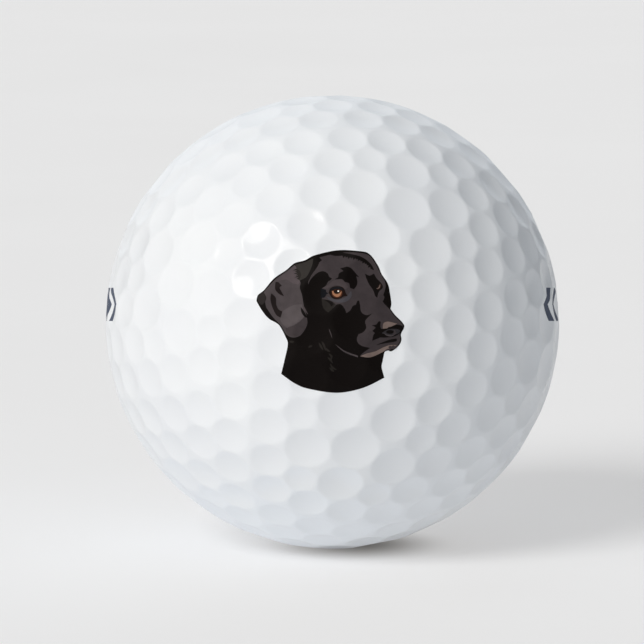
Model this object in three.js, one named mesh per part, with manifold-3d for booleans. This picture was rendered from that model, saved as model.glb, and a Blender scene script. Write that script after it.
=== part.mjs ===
// A two-piece golf ball, lying with its printed side forward: a solid rubber core, a dimpled cover moulded in
// two halves, and films of ink on the cover. The ink is a black dog's head on the front (-Y), and on each side
// (-X and +X) a diamond between two pairs of chevrons. Millimetres, +Z up, the ball's centre at 0.

import * as THREE from 'three';
import { ConvexGeometry } from 'three/addons/geometries/ConvexGeometry.js';
import { mergeVertices } from 'three/addons/utils/BufferGeometryUtils.js';
import Module from 'manifold-3d';

const wasm = await Module();
wasm.setup();

// Driving dimensions, in millimetres and degrees.
const BALL_RADIUS = 21.35;
const CORE_RADIUS = 19.5;
const CORE_CLEARANCE = 0.05; // between the core and the cover's inside
const CORE_DETAIL = 7; // how finely the core's sphere is divided
const SEAM_GAP = 0.04; // between the two halves of the cover
const FORWARD_TIP = 8; // the ball lies with its print turned up by this much

// Dimples: rim diameters and places. They repeat round the 12 corners of an icosahedron and along its edges.
// A ring's dimples lie at one angle from their corner, at bearings counted from the way to a next corner.
const DIMPLE_DEPTH = 0.23; // below the ball's sphere, at the centre of a dimple of DEPTH_DIAMETER
const DEPTH_DIAMETER = 3.62;
const MOST_DEPTH = 0.265; // however wide the dimple
const RIM_POINTS = 8;
const SAME_DIRECTION = 1e-4; // two unit vectors closer than this are the same one
const CORNER_DIAMETER = 4.5;
const RINGS = [
  { angle: 11.75, bearings: [36], diameter: 4.22 },
  { angle: 16.69, bearings: [0], diameter: 3.05 },
  { angle: 22.09, bearings: [-22.52, 22.52], diameter: 3.62 },
  { angle: 25.79, bearings: [0], diameter: 3.62 },
  { angle: 31.68, bearings: [36], diameter: 3.62 },
];
const EDGE_PAIR = { angle: 9.49, diameter: 3.62 }; // each side of the middle of every edge
const POLE = { azimuth: -70.48, elevation: 70.33, spin: 15 }; // the corner that the seam runs round

// Ink films: the first lies on the cover, and each next layer lies on the one below.
const INK_THICKNESS = 0.03;
const INK_GAP = 0.01;
const INK_LAYERS = 6;
const STAMP_FROM = 15; // a stamp's outline is extruded from here, out past the ball's surface
const STAMP_TO = 23;
const SPLINE_STEPS = 2; // straight steps for each point of a curved outline
const DISC_STEPS = 12;

// Side marks, seen from outside: a row between two heights above the ball's middle.
const MARK_LOW = 0.1;
const MARK_HIGH = 3.2;
const MARK_TURN = -1.7; // the rows are turned round the ball from true left and right by this much
const DIAMOND_REACH = 1.9; // from the middle of the row to the diamond's points
const CHEVRON_TIPS = { inner: 5.2, outer: 7.6 }; // from the middle of the row
const CHEVRON_WIDTH = 1.2; // along the row
const CHEVRON_SLANT = 1.7; // how far a chevron's ends stay behind its tip

const rad = THREE.MathUtils.degToRad;

const INKS = {
  black: new THREE.MeshStandardMaterial({ color: 0x161211, roughness: 0.4, metalness: 0 }),
  charcoal: new THREE.MeshStandardMaterial({ color: 0x3d383a, roughness: 0.4, metalness: 0 }),
  grey: new THREE.MeshStandardMaterial({ color: 0x4e494b, roughness: 0.4, metalness: 0 }),
  slate: new THREE.MeshStandardMaterial({ color: 0x3a3e45, roughness: 0.4, metalness: 0 }),
  tan: new THREE.MeshStandardMaterial({ color: 0x77625c, roughness: 0.4, metalness: 0 }),
  amber: new THREE.MeshStandardMaterial({ color: 0xb5683a, roughness: 0.3, metalness: 0 }),
  white: new THREE.MeshStandardMaterial({ color: 0xf2ece6, roughness: 0.3, metalness: 0 }),
  navy: new THREE.MeshStandardMaterial({ color: 0x232a3c, roughness: 0.4, metalness: 0 }),
};
const COVER = new THREE.MeshStandardMaterial({ color: 0xf1f3f5, roughness: 0.25, metalness: 0 });
const RUBBER = new THREE.MeshStandardMaterial({ color: 0x2f7f8c, roughness: 0.8, metalness: 0 });

// A direction from its turn from the front (-Y) towards +X, and its rise above the horizontal.
function direction(azimuth, elevation) {
  const level = Math.cos(rad(elevation));
  return new THREE.Vector3(
    level * Math.sin(rad(azimuth)),
    -level * Math.cos(rad(azimuth)),
    Math.sin(rad(elevation)),
  );
}

// The unit vector square to axis that points as nearly as it can along towards.
function squareTo(axis, towards) {
  return towards.clone().projectOnPlane(axis).normalize();
}

// The direction at an angle from axis, at a bearing from start, a unit vector square to the axis.
function aside(axis, start, angle, bearing) {
  const across = start.clone().applyAxisAngle(axis, rad(bearing));
  return axis
    .clone()
    .multiplyScalar(Math.cos(rad(angle)))
    .addScaledVector(across, Math.sin(rad(angle)));
}

// ---- The dimple pattern ----

const pole = direction(POLE.azimuth, POLE.elevation);

// The 12 corners: the pole, the five round it, and their opposites.
function icosahedronCorners() {
  const start = squareTo(pole, new THREE.Vector3(1, 0, 0));
  const cornerAngle = THREE.MathUtils.radToDeg(Math.atan(2));
  const upper = [pole.clone()];
  for (let i = 0; i < 5; i += 1) {
    upper.push(aside(pole, start, cornerAngle, POLE.spin + 72 * i));
  }
  return upper.flatMap((corner) => [corner, corner.clone().negate()]);
}

// Every dimple as its centre's direction and its rim's angle from there, in radians.
function placeDimples() {
  const corners = icosahedronCorners();
  const dimples = [];
  const add = (centre, diameter) => dimples.push({ centre, rim: diameter / 2 / BALL_RADIUS });
  corners.forEach((corner, index) => {
    add(corner, CORNER_DIAMETER);
    const nextCorners = corners.filter((other) => other !== corner && other.dot(corner) > 0);
    for (const next of nextCorners) {
      const start = squareTo(corner, next);
      for (const { angle, bearings, diameter } of RINGS) {
        bearings.forEach((bearing) => add(aside(corner, start, angle, bearing), diameter));
      }
      if (corners.indexOf(next) > index) {
        const middle = corner.clone().add(next).normalize();
        const across = corner.clone().cross(next).normalize();
        [0, 180].forEach((bearing) => add(aside(middle, across, EDGE_PAIR.angle, bearing), EDGE_PAIR.diameter));
      }
    }
  });
  return dimples;
}

// A closed, faceted ball with a hollow for each dimple: a ring of rim points and one point at its bottom.
function ballGeometry() {
  const points = [];
  const bottoms = [];
  for (const { centre, rim } of placeDimples()) {
    const start = squareTo(centre, new THREE.Vector3(0, 0, 1));
    for (let i = 0; i < RIM_POINTS; i += 1) {
      const bearing = (360 * i) / RIM_POINTS;
      points.push(aside(centre, start, THREE.MathUtils.radToDeg(rim), bearing).multiplyScalar(BALL_RADIUS));
    }
    const depth = DIMPLE_DEPTH * ((2 * rim * BALL_RADIUS) / DEPTH_DIAMETER) ** 2;
    points.push(centre.clone().multiplyScalar(BALL_RADIUS));
    bottoms.push({ centre, radius: BALL_RADIUS - Math.min(depth, MOST_DEPTH) });
  }
  const geometry = bareGeometry(new ConvexGeometry(points));
  const position = geometry.getAttribute('position');
  const vertex = new THREE.Vector3();
  for (let i = 0; i < position.count; i += 1) {
    vertex.fromBufferAttribute(position, i).normalize();
    const bottom = bottoms.find(({ centre }) => centre.distanceTo(vertex) < SAME_DIRECTION);
    vertex.multiplyScalar(bottom ? bottom.radius : BALL_RADIUS);
    position.setXYZ(i, vertex.x, vertex.y, vertex.z);
  }
  return geometry;
}

// ---- Solids ----

// The geometry with only its positions left and its shared vertices merged.
function bareGeometry(geometry) {
  const bare = new THREE.BufferGeometry();
  bare.setAttribute('position', geometry.getAttribute('position').clone());
  bare.setIndex(geometry.index);
  return mergeVertices(bare);
}

function solidFrom(geometry) {
  const bare = bareGeometry(geometry);
  const mesh = new wasm.Mesh({
    numProp: 3,
    vertProperties: bare.getAttribute('position').array,
    triVerts: new Uint32Array(bare.index.array),
  });
  return new wasm.Manifold(mesh);
}

function geometryFrom(solid) {
  const { vertProperties, triVerts } = solid.getMesh();
  const geometry = new THREE.BufferGeometry();
  geometry.setAttribute('position', new THREE.BufferAttribute(vertProperties, 3));
  geometry.setIndex(new THREE.BufferAttribute(triVerts, 1));
  geometry.computeVertexNormals();
  return geometry;
}

function namedMesh(name, geometry, material) {
  const mesh = new THREE.Mesh(geometry, material);
  mesh.name = name;
  return mesh;
}

// ---- Core and cover ----

const ball = ballGeometry();

function coreMesh() {
  return namedMesh('core', new THREE.IcosahedronGeometry(CORE_RADIUS, CORE_DETAIL), RUBBER);
}

// One half of the cover: side is 1 for the half round the pole, -1 for the other.
function coverHalf(name, side) {
  const hollow = solidFrom(new THREE.IcosahedronGeometry(CORE_RADIUS + CORE_CLEARANCE, CORE_DETAIL));
  const size = 3 * BALL_RADIUS;
  const keep = new THREE.BoxGeometry(size, size, size);
  keep.translate(0, 0, (size + SEAM_GAP) / 2);
  const towards = pole.clone().multiplyScalar(side);
  keep.applyQuaternion(new THREE.Quaternion().setFromUnitVectors(new THREE.Vector3(0, 0, 1), towards));
  const half = solidFrom(ball).subtract(hollow).intersect(solidFrom(keep));
  return namedMesh(name, geometryFrom(half), COVER);
}

// ---- Ink ----

// The ball grown to the bottom and the top of each ink layer.
const layers = Array.from({ length: INK_LAYERS }, (_, index) => {
  const bottom = BALL_RADIUS + INK_GAP + index * (INK_THICKNESS + INK_GAP);
  return [bottom, bottom + INK_THICKNESS].map((radius) => {
    const scale = radius / BALL_RADIUS;
    return solidFrom(ball.clone().scale(scale, scale, scale));
  });
});

// A closed outline: a start, then runs of points. Each run is one smooth curve, and runs meet at corners.
function outline(start, ...runs) {
  const path = new THREE.Path().moveTo(...start);
  for (const run of runs) {
    if (run.length > 1) {
      path.splineThru(run.map(([x, y]) => new THREE.Vector2(x, y)));
    } else {
      path.lineTo(...run[0]);
    }
  }
  return new THREE.Shape(path.getPoints(SPLINE_STEPS));
}

function disc(x, y, radiusX, radiusY) {
  return new THREE.Shape(new THREE.EllipseCurve(x, y, radiusX, radiusY).getPoints(DISC_STEPS));
}

function polygon(...points) {
  return new THREE.Shape(points.map(([x, y]) => new THREE.Vector2(x, y)));
}

// The part of an ink layer inside an outline drawn as seen from outside, looking against facing, with +Z up.
function inkFilm(name, shape, layer, facing, ink) {
  const stamp = new THREE.ExtrudeGeometry(shape, { depth: STAMP_TO - STAMP_FROM, bevelEnabled: false });
  stamp.translate(0, 0, STAMP_FROM);
  const up = new THREE.Vector3(0, 0, 1);
  const right = up.clone().cross(facing);
  stamp.applyMatrix4(new THREE.Matrix4().makeBasis(right, up, facing));
  const [under, over] = layers[layer];
  return namedMesh(name, geometryFrom(over.intersect(solidFrom(stamp)).subtract(under)), ink);
}

// The head in three-quarter view, looking right: x to the right and y up from the middle of the front.
const HEAD_FILMS = [
  {
    name: 'print_head',
    layer: 0,
    ink: INKS.black,
    shape: outline(
      [-6.9, 1.9],
      [[-6.75, 2.5], [-6.2, 2.9], [-5.2, 3.95], [-4.25, 4.65], [-3.4, 5.3], [-2.5, 5.55], [-1.6, 6.05],
        [0.4, 6.5], [2.2, 6.45], [3.2, 6.2], [4.2, 4.8], [5.0, 3.5], [5.3, 2.3], [5.2, 1.25]],
      [[5.9, 0.6], [6.4, 0.0], [6.5, -0.5], [6.2, -1.0], [6.2, -1.6], [6.0, -2.2], [5.3, -2.65], [4.95, -2.5]],
      [[4.65, -2.75]],
      [[4.5, -3.5], [4.4, -4.1], [4.65, -5.05]],
      [[2.7, -5.95], [0.4, -6.4], [-2.3, -5.95], [-4.6, -4.65]],
      [[-4.2, -3.2], [-4.0, -1.6], [-4.7, -0.4], [-5.5, 0.3], [-6.3, 1.05], [-6.9, 1.9]],
    ),
  },
  {
    name: 'print_ear',
    layer: 1,
    ink: INKS.grey,
    shape: outline(
      [-6.25, 2.7],
      [[-5.2, 3.8], [-4.25, 4.5], [-3.4, 5.15]],
      [[-3.3, 4.5], [-2.95, 3.6], [-2.7, 2.4], [-2.6, 1.5], [-2.3, 0.3], [-2.35, -0.4], [-2.9, -1.2],
        [-3.6, -1.4], [-4.2, -1.1], [-4.65, -0.35], [-5.4, 0.45], [-6.1, 1.4]],
      [[-5.95, 2.1], [-6.25, 2.7]],
    ),
  },
  {
    name: 'print_ear_streak_upper',
    layer: 2,
    ink: INKS.black,
    shape: outline(
      [-5.15, 3.65],
      [[-4.75, 3.3], [-4.65, 2.9], [-4.45, 2.35]],
      [[-4.95, 2.7], [-5.2, 3.15], [-5.15, 3.65]],
    ),
  },
  {
    name: 'print_ear_streak_lower',
    layer: 2,
    ink: INKS.black,
    shape: outline(
      [-5.55, 2.6],
      [[-5.15, 2.1], [-5.1, 1.5], [-4.6, 0.9], [-4.7, 0.45]],
      [[-5.2, 0.75], [-5.5, 1.4], [-5.6, 2.1], [-5.55, 2.6]],
    ),
  },
  {
    name: 'print_face',
    layer: 1,
    ink: INKS.charcoal,
    shape: outline(
      [-1.2, 5.85],
      [[0.0, 5.95], [1.2, 5.9], [2.4, 5.6], [3.3, 5.0], [3.8, 4.65]],
      [[3.5, 5.2], [2.7, 5.85], [1.6, 6.25]],
      [[3.05, 6.15], [3.6, 5.6], [4.2, 4.6], [4.75, 3.8]],
      [[4.75, 3.0], [4.55, 1.85], [5.15, 1.2]],
      [[5.75, 0.55], [6.25, 0.0], [6.4, -0.45], [6.15, -1.0], [6.1, -1.6], [5.9, -2.15], [5.3, -2.5]],
      [[4.5, -2.75], [3.3, -3.2], [2.5, -3.1]],
      [[3.0, -2.5], [2.4, -2.1], [2.25, -1.5], [2.8, -1.0], [3.1, -0.5], [3.0, 0.1], [3.6, 0.75]],
      [[2.8, 0.7], [2.5, 1.2], [2.4, 1.95]],
      [[1.8, 1.5], [1.2, 0.85]],
      [[0.9, 1.45], [0.4, 1.8], [-0.5, 2.0], [-0.95, 2.6], [-0.95, 3.1]],
      [[-0.4, 3.5], [0.2, 3.9]],
      [[-0.4, 4.4], [-0.9, 4.65], [-1.5, 4.35], [-2.1, 3.6]],
      [[-1.8, 4.6], [-1.3, 5.3], [-1.2, 5.85]],
    ),
  },
  {
    name: 'print_brow_near',
    layer: 2,
    ink: INKS.black,
    shape: outline(
      [0.7, 4.85],
      [[1.2, 5.0], [1.8, 4.75], [2.2, 4.1], [2.2, 3.4], [2.05, 3.0]],
      [[1.6, 3.2], [1.2, 3.6], [0.2, 3.85]],
      [[0.6, 4.4], [0.9, 4.6], [0.7, 4.85]],
    ),
  },
  {
    name: 'print_socket_far',
    layer: 2,
    ink: INKS.black,
    shape: outline(
      [3.0, 4.35],
      [[3.75, 4.3], [4.1, 3.8], [4.5, 3.5], [4.5, 3.05], [4.15, 2.75], [4.05, 2.2]],
      [[3.6, 2.9], [3.25, 3.6], [3.0, 4.35]],
    ),
  },
  { name: 'print_eye_rim', layer: 2, ink: INKS.black, shape: disc(0.4, 2.65, 0.78, 0.56) },
  { name: 'print_iris_near', layer: 3, ink: INKS.amber, shape: disc(0.41, 2.6, 0.48, 0.38) },
  { name: 'print_pupil', layer: 4, ink: INKS.black, shape: disc(0.4, 2.75, 0.24, 0.2) },
  { name: 'print_glint', layer: 5, ink: INKS.white, shape: disc(0.52, 2.8, 0.12, 0.1) },
  { name: 'print_iris_far', layer: 3, ink: INKS.amber, shape: disc(4.18, 3.15, 0.2, 0.26) },
  {
    name: 'print_nose',
    layer: 2,
    ink: INKS.black,
    shape: outline(
      [3.6, -0.3],
      [[4.25, 0.05], [4.5, -0.6], [5.1, -0.5], [5.8, -0.25], [6.35, -0.35]],
      [[6.35, -0.6], [6.1, -1.0], [5.6, -1.3], [4.9, -1.4], [4.3, -1.4], [3.7, -1.7]],
      [[3.75, -1.1], [3.6, -0.3]],
    ),
  },
  {
    name: 'print_nose_top',
    layer: 3,
    ink: INKS.tan,
    shape: outline([4.55, -0.6], [[4.65, -0.15], [5.1, 0.02], [5.85, -0.18]], [[5.2, -0.42], [4.55, -0.6]]),
  },
  {
    name: 'print_nose_wing',
    layer: 3,
    ink: INKS.slate,
    shape: outline(
      [4.6, -0.95],
      [[5.0, -0.7], [5.7, -0.65], [6.1, -0.75], [6.0, -1.0], [5.4, -1.2], [4.9, -1.15], [4.6, -0.95]],
    ),
  },
  { name: 'print_nostril', layer: 4, ink: INKS.black, shape: disc(5.2, -0.92, 0.32, 0.17) },
  {
    name: 'print_lip',
    layer: 2,
    ink: INKS.black,
    shape: outline([4.0, -2.05], [[4.8, -1.7], [5.75, -1.5]], [[5.75, -1.72], [4.9, -1.9], [4.0, -2.05]]),
  },
  {
    name: 'print_chin',
    layer: 2,
    ink: INKS.tan,
    shape: outline(
      [2.65, -3.1],
      [[3.5, -2.75], [4.3, -2.55], [4.95, -2.2], [5.8, -2.1]],
      [[5.5, -2.4], [4.9, -2.5], [4.5, -2.7], [3.3, -3.15], [2.65, -3.1]],
    ),
  },
  {
    name: 'print_jaw_line',
    layer: 1,
    ink: INKS.grey,
    shape: outline(
      [0.2, -2.0],
      [[1.15, -2.75], [2.2, -3.1]],
      [[2.2, -3.22]],
      [[1.1, -2.87], [0.2, -2.0]],
    ),
  },
];

// One side's row of marks, symmetric about its middle: x along the ball's side and y up.
function sideMarks(side, facing) {
  const middle = (MARK_LOW + MARK_HIGH) / 2;
  const shapes = {
    diamond: polygon([-DIAMOND_REACH, middle], [0, MARK_LOW], [DIAMOND_REACH, middle], [0, MARK_HIGH]),
  };
  for (const [end, way] of [['front', facing.x > 0 ? -1 : 1], ['back', facing.x > 0 ? 1 : -1]]) {
    for (const [place, tip] of Object.entries(CHEVRON_TIPS)) {
      const shoulder = tip - CHEVRON_SLANT;
      shapes[`${end}_${place}_chevron`] = polygon(
        [(shoulder - CHEVRON_WIDTH) * way, MARK_HIGH],
        [shoulder * way, MARK_HIGH],
        [tip * way, middle],
        [shoulder * way, MARK_LOW],
        [(shoulder - CHEVRON_WIDTH) * way, MARK_LOW],
        [(tip - CHEVRON_WIDTH) * way, middle],
      );
    }
  }
  return Object.entries(shapes).map(([name, shape]) => (
    inkFilm(`${side}_${name}`, shape, 0, facing, INKS.navy)
  ));
}

// ---- The ball, drawn with its print straight forward and then tipped up ----

const golfBall = new THREE.Group();
golfBall.rotation.x = -rad(FORWARD_TIP);
golfBall.add(coreMesh(), coverHalf('cover_upper', 1), coverHalf('cover_lower', -1));
for (const { name, shape, layer, ink } of HEAD_FILMS) {
  golfBall.add(inkFilm(name, shape, layer, direction(0, 0), ink));
}
golfBall.add(...sideMarks('left', direction(MARK_TURN - 90, 0)));
golfBall.add(...sideMarks('right', direction(MARK_TURN + 90, 0)));

const part = new THREE.Group();
part.add(golfBall);

export default part;
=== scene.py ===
# The looks of a golf ball with a printed dog's head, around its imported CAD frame: a glossy dimpled cover in
# two halves, the rubber core inside it, and films of ink that follow the dimples. The drawing is in
# millimetres with the print straight forward (-Y). Pieces are in metres in the CAD frame, where the print is
# tipped up a little.
import math

import bmesh
import bpy
import numpy as np
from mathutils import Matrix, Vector, noise
from mathutils.geometry import delaunay_2d_cdt


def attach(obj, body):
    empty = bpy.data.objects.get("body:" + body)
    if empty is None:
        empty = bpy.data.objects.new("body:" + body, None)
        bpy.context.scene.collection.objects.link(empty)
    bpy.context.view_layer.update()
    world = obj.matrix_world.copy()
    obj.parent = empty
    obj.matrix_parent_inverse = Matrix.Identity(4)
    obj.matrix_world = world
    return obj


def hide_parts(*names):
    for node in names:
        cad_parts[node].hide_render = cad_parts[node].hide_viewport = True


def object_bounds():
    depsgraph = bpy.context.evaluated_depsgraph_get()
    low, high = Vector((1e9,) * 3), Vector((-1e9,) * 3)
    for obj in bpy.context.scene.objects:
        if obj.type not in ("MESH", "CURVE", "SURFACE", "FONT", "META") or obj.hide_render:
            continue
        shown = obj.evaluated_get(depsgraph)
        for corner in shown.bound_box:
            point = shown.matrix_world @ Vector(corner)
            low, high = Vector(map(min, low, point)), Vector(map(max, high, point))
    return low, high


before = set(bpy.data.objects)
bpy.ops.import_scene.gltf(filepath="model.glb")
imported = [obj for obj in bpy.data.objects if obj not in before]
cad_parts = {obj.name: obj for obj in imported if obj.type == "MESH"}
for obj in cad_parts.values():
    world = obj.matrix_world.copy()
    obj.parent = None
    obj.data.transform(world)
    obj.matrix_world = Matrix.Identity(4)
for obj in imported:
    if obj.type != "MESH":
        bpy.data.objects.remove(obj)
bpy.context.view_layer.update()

# ---- Driving values, in millimetres and degrees where nothing else is said ----

# The ball, as in the CAD
MM = 0.001
BALL_RADIUS = 21.35
CORE_RADIUS = 19.5
CORE_CLEARANCE = 0.05  # between the core and the cover
FORWARD_TIP = 8.0  # how far up the print looks

DIMPLE_DEPTH = 0.23  # below the ball's sphere, at the centre of a dimple of DEPTH_DIAMETER
DEPTH_DIAMETER = 3.62
MOST_DEPTH = 0.265  # of any dimple
RIM_SOFTNESS = 0.05  # the depth over which a dimple's wall rounds off into the land
CORNER_DIAMETER = 4.5  # of a dimple at a corner of the icosahedron
RINGS = (  # angle from a corner of the icosahedron, bearings from the way to the next corner, diameter
    (11.75, (36.0,), 4.22),
    (16.69, (0.0,), 3.05),
    (22.09, (-22.52, 22.52), 3.62),
    (25.79, (0.0,), 3.62),
    (31.68, (36.0,), 3.62),
)
EDGE_ANGLE, EDGE_DIAMETER = 9.49, 3.62  # of the dimples to each side of the middle of an edge
# Where one corner of the icosahedron stands, and how far the ball is turned about it
POLE_AZIMUTH, POLE_ELEVATION, POLE_SPIN = -70.48, 70.33, 15.0

# How finely the meshes are divided: an icosphere's subdivisions, a film's spacing and the steps of curves
COVER_LEVEL = 8
HOLLOW_LEVEL = 5
CORE_LEVEL = 6
FILM_SPACING = 0.15
SPLINE_STEPS = 6
DISC_STEPS = 40
DROP_STEPS = 4  # corrections of a point's height as it is moved onto the dimples

# Ink
FILM_BOTTOM = 0.005  # the first ink layer's height above the cover
FILM_THICKNESS = 0.006
FILM_PITCH = 0.012  # from one ink layer to the next
INK_UNEVENNESS = 0.05  # of a colour's values
HAIR_WIDTH = 0.2
SHORT_TOOTH = 0.6  # of a comb's reach
MARK_LOW, MARK_HIGH = 0.1, 3.2  # above the ball's middle
MARK_TURN = -1.7  # of both rows of marks, from straight aside
DIAMOND_REACH = 1.9  # from its middle to its side corners
CHEVRON_TIPS = {"inner": 5.2, "outer": 7.6}  # from the middle of the row
CHEVRON_WIDTH = 1.2
CHEVRON_SLANT = 1.7  # from its shoulders to its tip

# The core's surface
CORE_GRAIN = 25.0  # lumps of ground rubber across the core's radius
GRAIN_OCTAVES = 4
OCTAVE_FADE = 1.0  # how fast the finer lumps fade
OCTAVE_STEP = 2.0  # how many times finer each octave is
GRAIN_DEPTH = 0.02
FLASH_WIDTH = 0.25  # of the line that the core's mould leaves
FLASH_HEIGHT = 0.02

# Camera
CAMERA_DISTANCE = 25 * BALL_RADIUS
BALL_SHARE_OF_IMAGE = 0.35217  # the ball's radius against the image's side
BALL_OFF_MIDDLE = 0.0163  # to the right, against the image's side
SENSOR = 36.0

# Light
WARM = (1.06, 1.0, 0.93)
COOL = (0.95, 1.0, 1.05)
BLUE = (0.75, 1.0, 1.3)
LIGHTS = (  # name, azimuth and elevation of where it stands, spread in degrees, strength, colour
    ("key", -38.0, 36.0, 25.0, 0.485, WARM),
    ("low_left", -50.0, 12.0, 60.0, 0.315, WARM),
    ("front", 0.0, 20.0, 60.0, 0.08, COOL),
    ("overhead", 0.0, 90.0, 80.0, 0.25, COOL),
    ("back_left", -150.0, 45.0, 70.0, 0.08, COOL),
    ("back_right", 150.0, 45.0, 70.0, 0.02, COOL),
    ("back", 180.0, 15.0, 60.0, 0.2, COOL),
    ("below", -80.0, -45.0, 60.0, 0.055, BLUE),
)
# These cast no shadow, so that the floor stays light in front of the ball.
SHADOWLESS = ("overhead", "back_left", "back_right", "back", "below")
WORLD_STRENGTH = 0.08
WORLD_COLOUR = (0.95, 0.97, 1.0)

# Floor
FLOOR_HALF = 2.0  # metres
FLOOR_GLOW = (0.305, 0.277, 0.245)
# Painted contact shadow: a dark spot close under the ball, where the floor's colour and glow are darkened.
PAINTED_SHADOW_PLACE = (2.5, 0.5)  # x and y in millimetres of the middle of the dark spot close under the ball
PAINTED_SHADOW_RADIUS = 9.5
PAINTED_SHADOW_DEEPEST = 0.28  # of the floor's full brightness


# ---- Directions ----

FRONT = np.array([0.0, -1.0, 0.0])
UP = np.array([0.0, 0.0, 1.0])


def unit(vector):
    return vector / np.linalg.norm(vector)


def direction(azimuth, elevation):
    """The unit vector turned from the front towards +X by azimuth and raised above the horizontal."""
    a, e = math.radians(azimuth), math.radians(elevation)
    return np.array([math.cos(e) * math.sin(a), -math.cos(e) * math.cos(a), math.sin(e)])


def square_to(axis, towards):
    return unit(towards - axis * (towards @ axis))


def aside(axis, start, angle, bearing):
    """The direction at an angle from axis, at a bearing from start, a unit vector square to the axis."""
    a, b = math.radians(angle), math.radians(bearing)
    across = start * math.cos(b) + np.cross(axis, start) * math.sin(b)
    return axis * math.cos(a) + across * math.sin(a)


def tipped(vectors):
    """The vectors turned about X, so that what points straight forward is raised by FORWARD_TIP."""
    t = math.radians(FORWARD_TIP)
    turn = np.array([[1, 0, 0], [0, math.cos(t), math.sin(t)], [0, -math.sin(t), math.cos(t)]])
    return vectors @ turn.T


# ---- The dimpled surface ----

POLE = direction(POLE_AZIMUTH, POLE_ELEVATION)


def icosahedron_corners():
    """The pole, the five corners round it, and their opposites."""
    start = square_to(POLE, np.array([1.0, 0, 0]))
    corner_angle = math.degrees(math.atan(2))
    upper = [POLE] + [aside(POLE, start, corner_angle, POLE_SPIN + 72 * i) for i in range(5)]
    return [side * corner for corner in upper for side in (1, -1)]


def place_dimples():
    """Every dimple as its centre's direction, its rim's angle and its depth."""
    dimples = []

    def add(centre, diameter):
        depth = min(DIMPLE_DEPTH * (diameter / DEPTH_DIAMETER) ** 2, MOST_DEPTH)
        dimples.append((centre, diameter / 2 / BALL_RADIUS, depth))

    corners = icosahedron_corners()
    for index, corner in enumerate(corners):
        add(corner, CORNER_DIAMETER)
        for other_index, other in enumerate(corners):
            # The five corners next to this one are the others on its side of the ball.
            if other_index == index or other @ corner < 0:
                continue
            start = square_to(corner, other)
            for angle, bearings, diameter in RINGS:
                for bearing in bearings:
                    add(aside(corner, start, angle, bearing), diameter)
            if other_index > index:
                across = unit(np.cross(corner, other))
                for bearing in (0, 180):
                    add(aside(unit(corner + other), across, EDGE_ANGLE, bearing), EDGE_DIAMETER)
    return dimples


DIMPLES = place_dimples()


def dimpled(directions):
    """The ball's radius in each direction, and the outward normal there.

    A dimple's depth falls with the square of the distance from its centre. At the rim the wall meets the
    land in a quadratic blend, which reaches RIM_SOFTNESS of depth to each side of where the wall alone would
    end.
    """
    radius = np.full(len(directions), BALL_RADIUS)
    slope = np.zeros_like(directions)
    for centre, rim, depth in DIMPLES:
        level = directions @ centre
        steepness = depth / (1 - math.cos(rim))
        wall = depth - steepness * (1 - level)
        near = np.flatnonzero(wall > -RIM_SOFTNESS)
        level = level[near, None]
        wall = wall[near]
        blend = np.clip((wall + RIM_SOFTNESS) / (2 * RIM_SOFTNESS), 0, 1)
        radius[near] -= np.where(wall < RIM_SOFTNESS, RIM_SOFTNESS * blend**2, wall)
        slope[near] += blend[:, None] * steepness * (centre - level * directions[near])
    normals = directions + slope / radius[:, None]
    return radius, normals / np.linalg.norm(normals, axis=1, keepdims=True)


# ---- Materials ----

RAMP_STOPS = (0.3, 0.7)  # the noise values where a material's lowest and highest colours stand


def shown(red, green, blue):
    """The linear colour that a screen shows as these values from 0 to 255."""
    values = np.array([red, green, blue]) / 255
    linear = np.where(values <= 0.04045, values / 12.92, ((values + 0.055) / 1.055) ** 2.4)
    return (*linear.tolist(), 1.0)


class Finish:
    """A material with one Principled shader, varied by noise from object coordinates."""

    def __init__(self, name, specular, coat=0.0, coat_roughness=0.0):
        self.material = bpy.data.materials.new(name)
        self.material.use_nodes = True
        self.nodes = self.material.node_tree.nodes
        self.links = self.material.node_tree.links
        self.shader = self.nodes["Principled BSDF"]
        self.shader.inputs["Specular IOR Level"].default_value = specular
        self.shader.inputs["Coat Weight"].default_value = coat
        self.shader.inputs["Coat Roughness"].default_value = coat_roughness
        self.place = self.nodes.new("ShaderNodeTexCoord").outputs["Object"]

    def noise(self, size, detail=3.0):
        """Noise with features of about size millimetres."""
        node = self.nodes.new("ShaderNodeTexNoise")
        node.inputs["Scale"].default_value = 1 / (size * MM)
        node.inputs["Detail"].default_value = detail
        self.links.new(self.place, node.inputs["Vector"])
        return node.outputs["Fac"]

    def colour(self, factor, low, high):
        ramp = self.nodes.new("ShaderNodeValToRGB")
        for element, position, value in zip(ramp.color_ramp.elements, RAMP_STOPS, (low, high)):
            element.position = position
            element.color = value
        self.links.new(factor, ramp.inputs["Fac"])
        self.links.new(ramp.outputs["Color"], self.shader.inputs["Base Color"])

    def roughness(self, factor, low, high):
        spread = self.nodes.new("ShaderNodeMapRange")
        spread.inputs["To Min"].default_value = low
        spread.inputs["To Max"].default_value = high
        self.links.new(factor, spread.inputs["Value"])
        self.links.new(spread.outputs["Result"], self.shader.inputs["Roughness"])

    def bump(self, factor, height):
        """Bumps of height millimetres."""
        node = self.nodes.new("ShaderNodeBump")
        node.inputs["Distance"].default_value = height * MM
        self.links.new(factor, node.inputs["Height"])
        self.links.new(node.outputs["Normal"], self.shader.inputs["Normal"])


def cover_finish():
    """White paint under a clear coat, very slightly uneven in colour, gloss and level."""
    finish = Finish("cover_paint", specular=0.1, coat=0.2, coat_roughness=0.05)
    finish.colour(finish.noise(9.0), shown(225, 229, 234), shown(229, 233, 237))
    finish.roughness(finish.noise(1.2), 0.28, 0.38)
    finish.bump(finish.noise(0.6, detail=2.0), 0.0006)
    return finish.material


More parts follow.
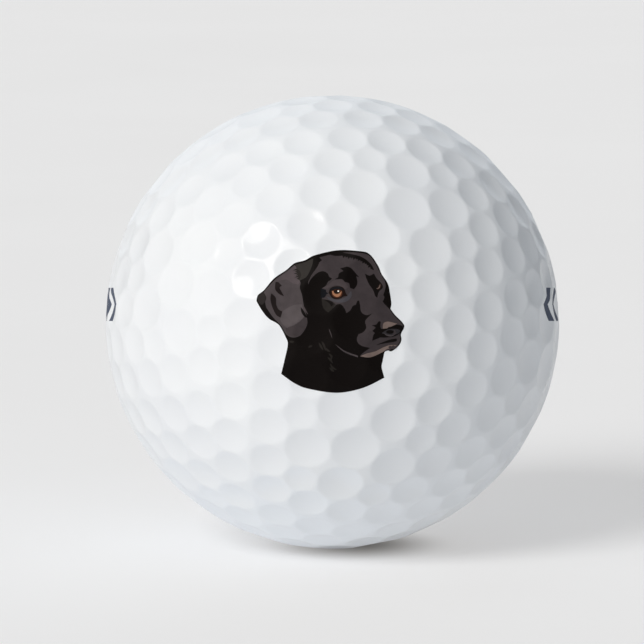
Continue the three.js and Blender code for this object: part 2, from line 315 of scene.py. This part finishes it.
def rubber_finish():
    """Moulded core rubber, ground dull, with lighter and darker specks."""
    finish = Finish("core_rubber", specular=0.3)
    finish.colour(finish.noise(0.8, detail=8.0), shown(34, 110, 124), shown(58, 144, 156))
    finish.roughness(finish.noise(0.4), 0.7, 0.9)
    finish.bump(finish.noise(0.3), 0.01)
    return finish.material


def ink_finish(name, colour):
    """Printed ink, whose density and gloss wander a little."""
    finish = Finish(name, specular=0.05)
    low = shown(*(value * (1 - INK_UNEVENNESS) for value in colour))
    high = shown(*(value * (1 + INK_UNEVENNESS) for value in colour))
    finish.colour(finish.noise(0.7, detail=4.0), low, high)
    finish.roughness(finish.noise(0.25), 0.45, 0.6)
    finish.bump(finish.noise(0.12, detail=2.0), 0.0004)
    return finish.material


INKS = {  # what a screen shows of each ink, and the record's slot for it
    "black": ((14, 10, 9), "ink_black"),
    "blue_black": ((17, 18, 23), "ink_black"),
    "brown_black": ((26, 15, 11), "ink_black"),
    "soft_black": ((27, 21, 21), "ink_black"),
    "fur": ((36, 33, 31), "ink_charcoal"),
    "dark_charcoal": ((39, 35, 35), "ink_charcoal"),
    "olive": ((47, 44, 42), "ink_charcoal"),
    "charcoal": ((60, 54, 56), "ink_charcoal"),
    "dark_grey": ((61, 55, 57), "ink_grey"),
    "mid_grey": ((68, 61, 63), "ink_grey"),
    "grey": ((70, 64, 66), "ink_grey"),
    "pale_grey": ((79, 71, 74), "ink_grey"),
    "light_grey": ((80, 74, 76), "ink_grey"),
    "slate": ((67, 65, 70), "ink_slate"),
    "dark_slate": ((48, 46, 49), "ink_slate"),
    "tan": ((113, 99, 94), "ink_tan"),
    "dark_amber": ((42, 26, 20), "ink_amber"),
    "amber": ((74, 40, 24), "ink_amber"),
    "bright_amber": ((150, 106, 80), "ink_amber"),
    "white": ((245, 236, 226), "ink_white"),
    "navy": ((80, 88, 106), "ink_navy"),
}
INK_MATERIALS = {name: ink_finish(f"ink_{name}", colour) for name, (colour, _) in INKS.items()}


# ---- Meshes ----


def add_piece(name, vertices, faces, skin, normals, material, replaced=()):
    """A closed mesh of triangles that rides on the ball.

    skin is 1 for a face of an outer skin, -1 for a face of an inner one and 0 for a flat wall between them.
    A skin is shaded by its vertices' normals, which point outward, and a wall by its own.
    """
    mesh = bpy.data.meshes.new(name)
    mesh.from_pydata((tipped(vertices) * MM).tolist(), [], faces.tolist())
    loop_skin = np.repeat(skin, 3)
    edge_of_loop = np.empty(len(mesh.loops), np.int32)
    mesh.loops.foreach_get("edge_index", edge_of_loop)
    lowest = np.ones(len(mesh.edges), int)
    highest = -lowest
    np.minimum.at(lowest, edge_of_loop, loop_skin)
    np.maximum.at(highest, edge_of_loop, loop_skin)
    mesh.attributes.new("sharp_edge", "BOOLEAN", "EDGE").data.foreach_set("value", lowest != highest)
    a, b, c = (vertices[faces[:, i]] for i in range(3))
    flat = np.cross(b - a, c - a)
    flat /= np.linalg.norm(flat, axis=1, keepdims=True)
    shading = normals[faces.ravel()] * loop_skin[:, None]
    shading = np.where(loop_skin[:, None] == 0, np.repeat(flat, 3, axis=0), shading)
    mesh.normals_split_custom_set(tipped(shading).tolist())
    mesh.materials.append(material)
    piece = bpy.data.objects.new(name, mesh)
    bpy.context.scene.collection.objects.link(piece)
    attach(piece, "root")
    if replaced:
        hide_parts(*replaced)


def arrays_of(mesh):
    """The vertices and triangles of a bmesh, which is freed."""
    vertices = np.array([vertex.co for vertex in mesh.verts])
    faces = np.array([[vertex.index for vertex in face.verts] for face in mesh.faces])
    mesh.free()
    return vertices, faces


def add_half_sphere(mesh, level, radius, side):
    """Adds half of a fine sphere, cut square to the pole: the pole's half, or the other if side is -1."""
    half = bmesh.new()
    bmesh.ops.create_icosphere(half, subdivisions=level, radius=radius)
    bmesh.ops.bisect_plane(
        half,
        geom=half.verts[:] + half.edges[:] + half.faces[:],
        plane_co=(0, 0, 0),
        plane_no=Vector(POLE * -side),
        clear_outer=True,
    )
    bmesh.ops.triangulate(half, faces=half.faces[:])
    part = bpy.data.meshes.new("half")
    half.to_mesh(part)
    half.free()
    mesh.from_mesh(part)
    bpy.data.meshes.remove(part)


def cover_half(name, side, material, replaced):
    """One half of the cover: a dimpled outside, a smooth inside, and the flat ring between their rims."""
    inner_radius = CORE_RADIUS + CORE_CLEARANCE
    mesh = bmesh.new()
    add_half_sphere(mesh, HOLLOW_LEVEL, inner_radius, side)
    bmesh.ops.reverse_faces(mesh, faces=mesh.faces[:])
    inner_faces = len(mesh.faces)
    add_half_sphere(mesh, COVER_LEVEL, BALL_RADIUS, side)
    skin_faces = len(mesh.faces)
    rims = [edge for edge in mesh.edges if edge.is_boundary]
    bmesh.ops.triangle_fill(mesh, edges=rims, use_beauty=True, normal=Vector(POLE * -side))
    vertices, faces = arrays_of(mesh)
    distance = np.linalg.norm(vertices, axis=1, keepdims=True)
    directions = vertices / distance
    outside = distance[:, 0] > (inner_radius + BALL_RADIUS) / 2
    radius, normals = dimpled(directions)
    vertices = directions * np.where(outside, radius, inner_radius)[:, None]
    normals[~outside] = directions[~outside]
    skin = np.zeros(len(faces), int)
    skin[:inner_faces] = -1
    skin[inner_faces:skin_faces] = 1
    add_piece(name, vertices, faces, skin, normals, material, [replaced])


def rubber_core(material):
    """The core: a ball ground a little uneven, with the thin line that its mould leaves round it."""
    mesh = bmesh.new()
    bmesh.ops.create_icosphere(mesh, subdivisions=CORE_LEVEL, radius=1.0)
    directions, faces = arrays_of(mesh)
    octaves = (OCTAVE_FADE, OCTAVE_STEP, GRAIN_OCTAVES)
    grain = np.array([noise.fractal(Vector(d * CORE_GRAIN), *octaves) for d in directions])
    line = np.exp(-(((directions @ POLE) * CORE_RADIUS / FLASH_WIDTH) ** 2))
    radius = CORE_RADIUS - FLASH_HEIGHT * (1 - line) - GRAIN_DEPTH * np.clip(0.5 + grain, 0, 1)
    vertices = directions * radius[:, None]
    skin = np.ones(len(faces), int)
    add_piece("core_ball", vertices, faces, skin, directions, material, ["core"])


# ---- Ink ----

INSIDE_ONLY = 1  # has delaunay_2d_cdt leave out the triangles outside the border
SAME_POINT = 1e-7  # points closer than this are one


def spline(points):
    """A Catmull-Rom curve through the points, without its last point."""
    count = len(points)
    for i in range(count - 1):
        before, start, end, after = (points[min(max(j, 0), count - 1)] for j in (i - 1, i, i + 1, i + 2))
        leave, arrive = (end - before) / 2, (after - start) / 2
        for step in range(SPLINE_STEPS):
            t = step / SPLINE_STEPS
            yield (
                (2 * start - 2 * end + leave + arrive) * t**3
                + (-3 * start + 3 * end - 2 * leave - arrive) * t**2
                + leave * t
                + start
            )


def as_vectors(points):
    return [np.array(point, float) for point in points]


def outline(start, *runs):
    """A closed outline: a start, then runs of points. A run is a smooth curve, and runs meet at corners."""
    points = []
    last = start
    for run in runs:
        points += spline(as_vectors((last, *run)))
        last = run[-1]
    if not np.allclose(last, start):
        points.append(np.array(last, float))
    return points


def disc(x, y, radius_x, radius_y):
    turns = [2 * math.pi * i / DISC_STEPS for i in range(DISC_STEPS)]
    return [np.array([x + radius_x * math.cos(t), y + radius_y * math.sin(t)]) for t in turns]


def stroke(width, *points):
    """The border of a hair's stroke along a smooth curve, widest in its middle and pointed at its ends."""
    points = as_vectors(points)
    line = np.array([*spline(points), points[-1]])
    ways = np.gradient(line, axis=0)
    ways /= np.linalg.norm(ways, axis=1, keepdims=True)
    swell = width / 2 * np.sin(np.linspace(0, math.pi, len(line)))
    sides = swell[:, None] * ways[:, ::-1] * (-1, 1)
    return [*(line + sides), *(line - sides)[-2:0:-1]]


def comb(start, end, teeth, reach):
    """Corners that run from start to end, with pointed teeth that reach out to the left of the way.

    Every second tooth is shorter, as fur is uneven.
    """
    start, end = np.array(start), np.array(end)
    step = (end - start) / teeth
    out = unit(np.array([-step[1], step[0]])) * reach
    for i in range(teeth):
        yield (start + step * (i + 0.5) + out * (1 if i % 2 else SHORT_TOOTH),)
        yield (start + step * (i + 1),)


def divided(points, spacing):
    """The closed outline with steps no longer than spacing."""
    result = []
    for start, end in zip(points, points[1:] + points[:1]):
        steps = max(1, math.ceil(np.linalg.norm(end - start) / spacing))
        result += [start + (end - start) * i / steps for i in range(steps)]
    return np.array(result)


def inside(points, border):
    """Which points lie inside the closed border."""
    x, y = points[:, :1], points[:, 1:]
    x0, y0 = border.T
    x1, y1 = np.roll(border, -1, axis=0).T
    spans = (y0 > y) != (y1 > y)
    rise = np.where(y1 == y0, 1, y1 - y0)
    return (spans & (x < x0 + (y - y0) * (x1 - x0) / rise)).sum(axis=1) % 2 == 1


def filled(border, spacing):
    """Points and triangles that fill a border evenly: a triangular grid inside, joined to the border."""
    low, high = border.min(axis=0), border.max(axis=0)
    rows = np.arange(low[1], high[1], spacing * math.sqrt(3) / 2)
    columns = np.arange(low[0], high[0] + spacing, spacing)
    grid = np.array([(x + spacing / 2 * (j % 2), y) for j, y in enumerate(rows) for x in columns])
    grid = grid[inside(grid, border)]
    gaps = np.linalg.norm(grid[:, None] - border[None], axis=2).min(axis=1)
    grid = grid[gaps > spacing / 2]
    count = len(border)
    edges = [(i, (i + 1) % count) for i in range(count)]
    points = [Vector(point) for point in (*border, *grid)]
    points, _, faces, *_ = delaunay_2d_cdt(points, edges, [], INSIDE_ONLY, SAME_POINT)
    return np.array(points), np.array(faces)


def on_ball(points, facing, height):
    """The points of a flat drawing, moved along facing onto the ball at a height above its surface."""
    right = np.cross(UP, facing)
    across = points[:, :1] * right + points[:, 1:] * UP
    reach = np.full(len(points), BALL_RADIUS)
    for _ in range(DROP_STEPS):
        ahead = np.sqrt(reach**2 - (across**2).sum(axis=1))
        directions = across + ahead[:, None] * facing
        directions /= np.linalg.norm(directions, axis=1, keepdims=True)
        radius, normals = dimpled(directions)
        reach = radius + height
    return directions * reach[:, None], normals


def ink_film(name, layer, ink, border, facing=FRONT, replaced=()):
    """A thin closed film inside a border drawn as seen from outside, looking against facing, with +Z up."""
    points, top = filled(divided(border, FILM_SPACING), FILM_SPACING)
    bottom_height = FILM_BOTTOM + layer * FILM_PITCH
    over, normals = on_ball(points, facing, bottom_height + FILM_THICKNESS)
    under, _ = on_ball(points, facing, bottom_height)
    count = len(points)
    sides = {(a, b) for face in top.tolist() for a, b in zip(face, face[1:] + face[:1])}
    rim = sorted((a, b) for a, b in sides if (b, a) not in sides)
    wall = [face for a, b in rim for face in ((b, a, a + count), (b, a + count, b + count))]
    faces = np.concatenate([top, top[:, ::-1] + count, wall])
    skin = np.repeat([1, -1, 0], [len(top), len(top), len(wall)])
    vertices = np.concatenate([over, under])
    normals = np.concatenate([normals, normals])
    add_piece(name, vertices, faces, skin, normals, INK_MATERIALS[ink], replaced)


# The head in three-quarter view, looking right: x to the right and y up from the middle of the front. Each
# film is a name, a layer, an ink and a border. The films of CAD_FILMS stand for the CAD nodes of the same
# names. Layer 0 lies next to the cover, and a film on a higher layer lies over the lower ones.
CAD_FILMS = [
    ("print_head", 0, "black", outline(
        (-6.9, 1.9),
        ((-6.75, 2.45), (-6.2, 2.9), (-5.3, 3.95), (-4.2, 4.7), (-3.45, 5.33), (-2.5, 5.6), (-1.6, 6.05),
         (0.4, 6.5), (2.2, 6.45), (3.3, 6.2), (4.1, 5.15), (4.45, 4.35), (5.0, 3.5), (5.2, 2.65),
         (5.33, 1.7), (5.25, 1.2)),
        ((5.65, 0.65), (6.3, 0.0), (6.5, -0.45), (6.2, -1.1), (6.25, -1.6), (6.0, -2.15), (5.35, -2.65),
         (4.95, -2.5)),
        ((4.7, -2.75),),
        ((4.55, -3.5), (4.45, -4.1), (4.7, -5.05)),
        ((2.75, -5.98), (0.4, -6.42), (-2.2, -6.05), (-3.45, -5.55), (-4.65, -4.7)),
        ((-4.3, -3.25), (-4.05, -2.0), (-4.25, -1.35), (-4.75, -0.4), (-5.15, -0.05), (-5.8, 0.33),
         (-6.4, 1.05), (-6.9, 1.9)),
    )),
    ("print_ear", 1, "grey", outline(
        (-6.25, 2.7),
        ((-5.2, 3.85), (-4.25, 4.55), (-3.4, 5.2)),
        ((-3.4, 4.6), (-3.2, 4.0), (-2.9, 3.6), (-2.95, 3.1), (-2.75, 2.4), (-2.6, 1.5), (-2.3, 0.3),
         (-2.35, -0.4), (-2.9, -1.2), (-3.6, -1.4), (-4.2, -1.1), (-4.65, -0.35), (-5.4, 0.45), (-6.0, 1.3)),
        ((-6.1, 1.8), (-6.0, 2.2), (-6.25, 2.7)),
    )),
    ("print_ear_streak_upper", 3, "soft_black", outline(
        (-5.15, 3.65),
        ((-4.9, 3.6),),
        ((-4.6, 3.3),),
        ((-4.8, 3.1), (-4.65, 2.8), (-4.4, 2.35)),
        ((-4.85, 2.55), (-5.2, 3.0), (-5.15, 3.65)),
    )),
    ("print_ear_streak_lower", 3, "soft_black", outline(
        (-5.55, 2.6),
        ((-5.15, 2.2), (-5.1, 1.6), (-4.9, 1.15), (-4.55, 0.95)),
        ((-4.7, 0.4),),
        ((-5.1, 0.65), (-5.45, 1.35), (-5.62, 2.05), (-5.55, 2.6)),
    )),
    ("print_face", 1, "charcoal", outline(
        (-1.2, 5.85),
        ((-0.2, 6.1), (1.0, 6.3), (2.2, 6.3), (3.2, 6.1), (3.75, 5.5), (4.25, 4.6)),
        ((4.5, 4.1), (4.75, 3.65), (4.8, 3.1), (4.6, 2.45)),
        ((4.7, 2.2), (4.55, 1.85)),
        ((4.75, 1.6), (5.15, 1.2)),
        ((5.6, 0.55), (6.15, 0.0), (6.4, -0.45), (6.1, -1.05), (6.15, -1.6), (5.9, -2.1), (5.3, -2.5)),
        ((4.5, -2.75), (3.3, -3.2), (2.5, -3.1)),
        ((2.65, -2.9), (3.1, -2.55)),
        ((3.4, -2.35),),
        ((2.75, -2.2), (2.35, -1.95), (2.2, -1.55), (2.35, -1.1)),
        ((2.8, -0.9), (3.05, -0.5), (2.95, 0.0), (3.1, 0.3), (3.6, 0.78)),
        ((3.15, 0.62), (2.75, 0.75), (2.55, 1.05), (2.5, 1.5), (2.4, 1.95)),
        ((2.25, 1.9),),
        ((2.1, 1.55),),
        ((1.85, 1.45), (1.6, 1.05), (1.25, 0.8)),
        ((1.1, 1.2), (0.75, 1.6), (0.35, 1.58)),
        ((0.0, 1.2), (-0.4, 0.9)),
        ((-0.8, 1.3), (-0.95, 2.0), (-0.95, 3.05)),
        ((-0.6, 3.3), (-0.4, 3.65), (-0.15, 3.8)),
        ((-0.05, 3.95),),
        ((-0.3, 4.1), (-0.45, 4.4), (-0.9, 4.6), (-1.5, 4.35), (-2.2, 3.6)),
        ((-1.9, 4.25), (-1.4, 4.95), (-1.2, 5.4)),
        ((-0.95, 5.6),),
    )),
    ("print_brow_near", 2, "black", outline(
        (1.3, 5.02),
        ((1.65, 4.9), (1.95, 4.6), (2.2, 4.3), (2.42, 4.05)),
        ((2.15, 4.15),),
        ((2.25, 3.6), (2.15, 3.25), (1.95, 2.98)),
        ((1.6, 3.1), (1.5, 3.5), (1.1, 3.65), (0.85, 3.88), (0.2, 3.86)),
        ((0.5, 4.05), (0.6, 4.4), (1.0, 4.62)),
        ((0.7, 4.85),),
    )),
    ("print_socket_far", 2, "black", outline(
        (2.95, 4.38),
        ((3.35, 4.2), (3.75, 4.38)),
        ((4.0, 3.95), (4.3, 3.65), (4.52, 3.35), (4.52, 3.05), (4.2, 2.75), (4.05, 2.2)),
        ((3.85, 2.4), (3.7, 2.85), (3.3, 3.45), (3.05, 4.0)),
    )),
    ("print_eye_rim", 3, "brown_black", outline(
        (-0.35, 2.65),
        ((-0.22, 3.0), (0.05, 3.18), (0.45, 3.24), (0.85, 3.17), (1.08, 2.95), (1.2, 2.6), (1.38, 2.35)),
        ((1.05, 2.33), (0.75, 2.15), (0.35, 2.07), (-0.05, 2.2), (-0.35, 2.65)),
    )),
    ("print_iris_near", 4, "amber", disc(0.41, 2.58, 0.48, 0.38)),
    ("print_pupil", 6, "brown_black", disc(0.4, 2.74, 0.28, 0.2)),
    ("print_glint", 7, "white", disc(0.52, 2.79, 0.075, 0.065)),
    ("print_iris_far", 4, "dark_amber", outline(
        (4.0, 2.95),
        ((4.2, 2.95), (4.4, 3.15), (4.42, 3.45)),
        ((4.2, 3.35), (4.0, 2.95)),
    )),
    ("print_nose", 3, "black", outline(
        (3.55, -0.3),
        ((3.95, -0.25),),
        ((4.2, 0.05), (4.35, 0.02)),
        ((4.4, -0.6), (5.1, -0.5), (5.8, -0.25), (6.35, -0.35)),
        ((6.35, -0.6), (6.1, -1.0), (5.6, -1.3), (4.9, -1.4), (4.3, -1.4)),
        ((3.6, -1.7),),
        ((3.7, -1.2), (3.85, -1.0)),
        ((3.6, -0.8),),
        ((3.9, -0.5), (3.55, -0.3)),
    )),
    ("print_nose_top", 5, "tan", outline(
        (4.55, -0.6),
        ((4.58, -0.2), (4.75, -0.02), (5.05, 0.04), (5.45, -0.05), (5.87, -0.15)),
        ((5.35, -0.4), (5.05, -0.45)),
        ((4.95, -0.57), (4.55, -0.6)),
    )),
    ("print_nose_wing", 5, "dark_slate", outline(
        (4.45, -1.0),
        ((5.0, -0.68), (5.7, -0.62), (6.1, -0.75), (6.0, -1.0), (5.4, -1.2), (4.9, -1.15), (4.45, -1.0)),
    )),
    ("print_nostril", 6, "black", disc(5.2, -0.9, 0.34, 0.17)),
    ("print_lip", 3, "black", outline(
        (3.95, -2.08),
        ((4.7, -1.78), (5.2, -1.6), (5.8, -1.5)),
        ((5.75, -1.75), (4.9, -1.9), (3.95, -2.08)),
    )),
    ("print_chin", 3, "tan", outline(
        (2.5, -3.1),
        ((3.1, -2.85), (3.9, -2.65), (4.6, -2.3), (5.2, -2.1), (5.9, -2.1)),
        ((5.5, -2.35), (4.95, -2.45), (4.4, -2.8), (3.4, -3.2), (2.5, -3.1)),
    )),
    ("print_jaw_line", 1, "grey", outline(
        (0.2, -1.95),
        ((1.1, -2.6), (2.3, -3.05)),
        ((2.3, -3.2),),
        ((1.05, -2.72), (0.2, -1.95)),
    )),
]


# Finer shading of the head, without CAD nodes of its own.
SHADING_FILMS = [
    ("ear_tip", 1, "dark_charcoal", outline(
        (-6.78, 2.25),
        ((-6.5, 2.6), (-6.25, 2.65)),
        ((-6.05, 2.2), (-6.15, 1.75)),
        ((-6.45, 1.55), (-6.75, 1.85), (-6.78, 2.25)),
    )),
    ("ear_light_upper", 2, "pale_grey", outline(
        (-5.3, 3.6),
        ((-4.6, 4.2), (-4.0, 4.62), (-3.4, 5.1)),
        ((-3.1, 4.8), (-3.0, 4.2), (-2.95, 3.7), (-3.1, 3.4)),
        ((-3.6, 3.5), (-4.2, 3.85), (-5.3, 3.6)),
    )),
    ("ear_light_lower", 2, "light_grey", outline(
        (-4.5, 1.0),
        ((-3.6, 1.5), (-2.75, 1.6)),
        ((-2.65, 1.0), (-2.55, 0.5)),
        ((-2.9, 0.1), (-3.5, -0.3), (-4.15, -0.55)),
        ((-4.6, -0.1), (-4.75, 0.3)),
    )),
    ("ear_lobe", 2, "dark_grey", outline(
        (-4.25, -0.55),
        ((-3.5, -0.25), (-2.9, 0.15), (-2.45, 0.55)),
        ((-2.3, 0.0), (-2.4, -0.5), (-2.9, -1.15), (-3.6, -1.35), (-4.1, -1.08), (-4.25, -0.55)),
    )),
    ("ear_root", 3, "olive", outline(
        (-3.38, 5.2),
        ((-2.5, 5.43), (-1.75, 5.75)),
        ((-1.8, 5.3), (-2.05, 4.6), (-2.4, 4.05), (-2.95, 3.75)),
        *comb((-3.0, 3.9), (-3.25, 4.85), 6, 0.35),
    )),
    ("ear_root_hairs", 4, "fur", outline(
        (-3.0, 3.9),
        *comb((-3.0, 3.9), (-3.25, 4.85), 6, 0.4),
        ((-2.95, 4.6), (-2.85, 4.2), (-3.0, 3.9)),
    )),
    ("ear_fold", 3, "black", outline(
        (-2.88, 1.35),
        ((-2.6, 1.0), (-2.28, 0.4)),
        ((-2.5, 0.45), (-2.8, 0.85), (-2.88, 1.35)),
    )),
    ("ear_fold_edge", 3, "mid_grey", stroke(0.12, (-2.65, 1.5), (-2.5, 1.15), (-2.2, 0.65))),
    ("crown_streak", 2, "black", outline(
        (-0.6, 6.25),
        ((0.2, 6.38), (0.95, 6.28), (1.7, 6.15), (2.5, 5.95), (3.1, 5.6), (3.55, 5.15), (3.78, 4.68)),
        *comb((3.6, 4.85), (3.1, 5.3), 3, 0.2),
        *comb((3.1, 5.3), (2.3, 5.75), 4, 0.2),
        *comb((2.3, 5.75), (0.9, 6.02), 6, 0.2),
        ((0.2, 6.0), (-0.6, 6.25)),
    )),
    ("temple_edge", 1, "charcoal", stroke(0.1, (-2.2, 3.4), (-2.1, 3.75), (-1.75, 4.3))),
    ("brow_light", 2, "mid_grey", outline(
        (-0.9, 3.1),
        ((-0.4, 3.35), (0.0, 3.7), (0.3, 3.8)),
        ((0.85, 3.85), (1.15, 3.55), (1.45, 3.2)),
        ((1.15, 2.95), (0.9, 3.15), (0.4, 3.35), (-0.1, 3.2), (-0.5, 3.02), (-0.9, 3.1)),
    )),
    ("eye_corner", 2, "blue_black", outline(
        (-1.05, 3.05),
        ((-0.85, 2.98), (-0.6, 2.92)),
        ((-0.55, 2.7), (-0.35, 2.6)),
        ((-0.55, 2.5), (-0.7, 2.25), (-0.85, 2.2)),
        ((-1.05, 2.15),),
    )),
    ("under_eye_slate", 2, "slate", outline(
        (-0.6, 2.35),
        ((-0.2, 2.2), (0.4, 2.0), (1.0, 2.15), (1.35, 2.4), (1.7, 2.85)),
        ((1.7, 2.3), (1.25, 1.85), (0.6, 1.75), (0.1, 1.85), (-0.35, 2.05)),
    )),
    ("under_eye_patch", 2, "fur", outline(
        (-1.0, 2.1),
        ((-0.4, 1.95), (-0.05, 1.85), (0.3, 1.6)),
        ((0.0, 1.2), (-0.4, 0.85)),
        ((-0.85, 1.3), (-1.0, 2.1)),
    )),
    ("under_eye_line", 3, "black", outline(
        (-0.8, 2.05),
        ((-0.3, 1.95), (0.0, 1.78), (0.1, 1.6)),
        ((-0.1, 1.4),),
        ((-0.3, 1.7), (-0.8, 2.05)),
    )),
    ("upper_lid", 4, "blue_black", outline(
        (-0.28, 2.8),
        ((-0.17, 2.98), (0.08, 3.13), (0.45, 3.19), (0.8, 3.12), (1.03, 2.85)),
        ((0.8, 2.92), (0.4, 3.0), (0.0, 2.92), (-0.28, 2.8)),
    )),
    ("iris_glow", 5, "bright_amber", outline(
        (-0.06, 2.82),
        ((0.0, 2.55), (0.18, 2.36), (0.42, 2.27), (0.69, 2.4), (0.86, 2.82)),
        ((0.72, 2.7), (0.58, 2.6), (0.38, 2.54), (0.18, 2.6), (0.08, 2.8)),
    )),
    ("far_eye_arc", 5, "tan", stroke(0.07, (4.31, 3.46), (4.26, 3.2), (4.15, 3.06), (3.94, 3.03))),
    ("nose_wing_edge", 6, "grey", stroke(0.12, (4.65, -1.0), (4.95, -1.2), (5.4, -1.24), (5.85, -0.95))),
    ("nose_wing_bridge", 6, "charcoal", stroke(0.16, (5.55, -0.66), (5.65, -0.9), (5.45, -1.15))),
    ("lip_front", 4, "charcoal", outline(
        (5.05, -2.3),
        ((5.2, -2.16), (5.35, -2.22)),
        ((5.5, -2.12), (5.65, -2.2)),
        ((5.95, -2.05),),
        ((5.75, -2.4), (5.3, -2.45), (5.05, -2.3)),
    )),
    ("jaw_line_upper", 1, "dark_grey", stroke(0.1, (-0.35, -0.6), (-0.2, -0.95), (-0.02, -1.5))),
]

NECK_HAIRS = (  # where each stroke of the neck's fur starts, bends and ends
    ((-1.25, -1.85), (-1.05, -2.2), (-0.85, -2.55)),
    ((-0.98, -1.75), (-0.78, -2.1), (-0.62, -2.6)),
    ((-0.7, -2.3), (-0.45, -2.55), (-0.2, -2.7)),
    ((-0.35, -2.85), (-0.1, -3.1), (-0.1, -3.4)),
    ((-0.45, -3.2), (-0.2, -3.4), (0.02, -3.75)),
    ((-0.2, -3.75), (-0.02, -4.1), (0.4, -4.35)),
    ((-0.3, -4.1), (-0.05, -4.35), (0.15, -4.5)),
    ((-2.2, -2.3), (-2.0, -2.2), (-1.8, -2.15)),
    ((-3.95, -1.72), (-3.7, -1.8), (-3.45, -1.76)),
)


def side_marks(side, facing):
    """One side's row of marks, symmetric about its middle: x along the ball's side and y up."""
    middle = (MARK_LOW + MARK_HIGH) / 2
    shapes = {"diamond": ((-DIAMOND_REACH, middle), (0, MARK_LOW), (DIAMOND_REACH, middle), (0, MARK_HIGH))}
    front_way = -1 if facing[0] > 0 else 1
    for end, way in (("front", front_way), ("back", -front_way)):
        for place, tip in CHEVRON_TIPS.items():
            shoulder = tip - CHEVRON_SLANT
            shapes[f"{end}_{place}_chevron"] = (
                ((shoulder - CHEVRON_WIDTH) * way, MARK_HIGH),
                (shoulder * way, MARK_HIGH),
                (tip * way, middle),
                (shoulder * way, MARK_LOW),
                ((shoulder - CHEVRON_WIDTH) * way, MARK_LOW),
                ((tip - CHEVRON_WIDTH) * way, middle),
            )
    for name, points in shapes.items():
        ink_film(f"{side}_{name}_ink", 0, "navy", as_vectors(points), facing, [f"{side}_{name}"])


# ---- The ball ----

cover_material = cover_finish()
cover_half("cover_upper_shell", 1, cover_material, "cover_upper")
cover_half("cover_lower_shell", -1, cover_material, "cover_lower")
rubber_core(rubber_finish())
for node, layer, ink, border in CAD_FILMS:
    ink_film(f"{node}_ink", layer, ink, border, replaced=[node])
for name, layer, ink, border in SHADING_FILMS:
    ink_film(f"print_{name}_ink", layer, ink, border)
for number, hair in enumerate(NECK_HAIRS, 1):
    ink_film(f"print_neck_hair_{number}_ink", 1, "fur", stroke(HAIR_WIDTH, *hair))
side_marks("left", direction(MARK_TURN - 90, 0))
side_marks("right", direction(MARK_TURN + 90, 0))


# ---- Floor, light and camera ----


def floor_finish():
    """A smooth pale table, very slightly uneven.

    It glows a little, so that the ball's shadow is faint, and its colour and its glow darken in a spot close
    under the ball, which is a painted contact shadow.
    """
    finish = Finish("pale_floor", specular=0.0)
    finish.colour(finish.noise(60.0), shown(198, 203, 209), shown(200, 205, 211))
    finish.roughness(finish.noise(20.0), 0.8, 0.9)
    distance = finish.nodes.new("ShaderNodeVectorMath")
    distance.operation = "DISTANCE"
    distance.inputs[1].default_value = (PAINTED_SHADOW_PLACE[0] * MM, PAINTED_SHADOW_PLACE[1] * MM, 0)
    finish.links.new(finish.place, distance.inputs[0])
    # Painted contact shadow: the floor's colour and glow fall off towards the middle of the spot under the
    # ball.
    painted_shadow = finish.nodes.new("ShaderNodeMapRange")
    painted_shadow.interpolation_type = "SMOOTHSTEP"
    painted_shadow.inputs["From Max"].default_value = PAINTED_SHADOW_RADIUS * MM
    painted_shadow.inputs["To Min"].default_value = PAINTED_SHADOW_DEEPEST
    finish.links.new(distance.outputs["Value"], painted_shadow.inputs["Value"])
    base = finish.shader.inputs["Base Color"]
    painted_shadow_colour = finish.nodes.new("ShaderNodeVectorMath")
    painted_shadow_colour.operation = "SCALE"
    finish.links.new(base.links[0].from_socket, painted_shadow_colour.inputs[0])
    finish.links.new(painted_shadow.outputs["Result"], painted_shadow_colour.inputs["Scale"])
    finish.links.new(painted_shadow_colour.outputs["Vector"], base)
    finish.shader.inputs["Emission Color"].default_value = (*FLOOR_GLOW, 1.0)
    finish.links.new(painted_shadow.outputs["Result"], finish.shader.inputs["Emission Strength"])
    return finish.material


def add_floor(height):
    mesh = bpy.data.meshes.new("floor")
    corners = [(x * FLOOR_HALF, y * FLOOR_HALF, 0) for x, y in ((-1, -1), (1, -1), (1, 1), (-1, 1))]
    mesh.from_pydata(corners, [], [(0, 1, 2, 3)])
    mesh.materials.append(floor_finish())
    floor = bpy.data.objects.new("floor", mesh)
    floor.location.z = height
    bpy.context.scene.collection.objects.link(floor)


def add_lights():
    """Soft lights all round, each a distant disc: the wider its spread, the softer its shadows.

    A light of strength 1 would by itself show a white surface that faces it as just white.
    """
    for name, azimuth, elevation, spread, strength, colour in LIGHTS:
        light = bpy.data.lights.new(name, "SUN")
        light.color = colour
        light.energy = strength * math.pi
        light.angle = math.radians(spread)
        light.use_shadow = name not in SHADOWLESS
        lamp = bpy.data.objects.new(name, light)
        bpy.context.scene.collection.objects.link(lamp)
        towards = Vector(direction(azimuth, elevation))
        lamp.rotation_euler = towards.to_track_quat("Z", "Y").to_euler()


def add_world():
    world = bpy.data.worlds.new("studio")
    world.use_nodes = True
    background = world.node_tree.nodes["Background"]
    background.inputs["Color"].default_value = (*WORLD_COLOUR, 1.0)
    background.inputs["Strength"].default_value = WORLD_STRENGTH
    bpy.context.scene.world = world


def add_camera(centre):
    """Looks straight at the print from in front."""
    back = Vector(tipped(FRONT))
    camera = bpy.data.cameras.new("camera")
    camera.sensor_width = SENSOR
    ball_slope = 1 / math.sqrt((CAMERA_DISTANCE / BALL_RADIUS) ** 2 - 1)
    camera.lens = SENSOR * BALL_SHARE_OF_IMAGE / ball_slope
    camera.shift_x = -BALL_OFF_MIDDLE
    camera_object = bpy.data.objects.new("camera", camera)
    bpy.context.scene.collection.objects.link(camera_object)
    camera_object.location = centre + back * CAMERA_DISTANCE * MM
    camera_object.rotation_euler = back.to_track_quat("Z", "Y").to_euler()
    bpy.context.scene.camera = camera_object


ball_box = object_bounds()
add_floor(ball_box[0].z)
add_lights()
add_world()
add_camera(Vector((0, 0, 0)))
bpy.context.scene.view_settings.view_transform = "Standard"
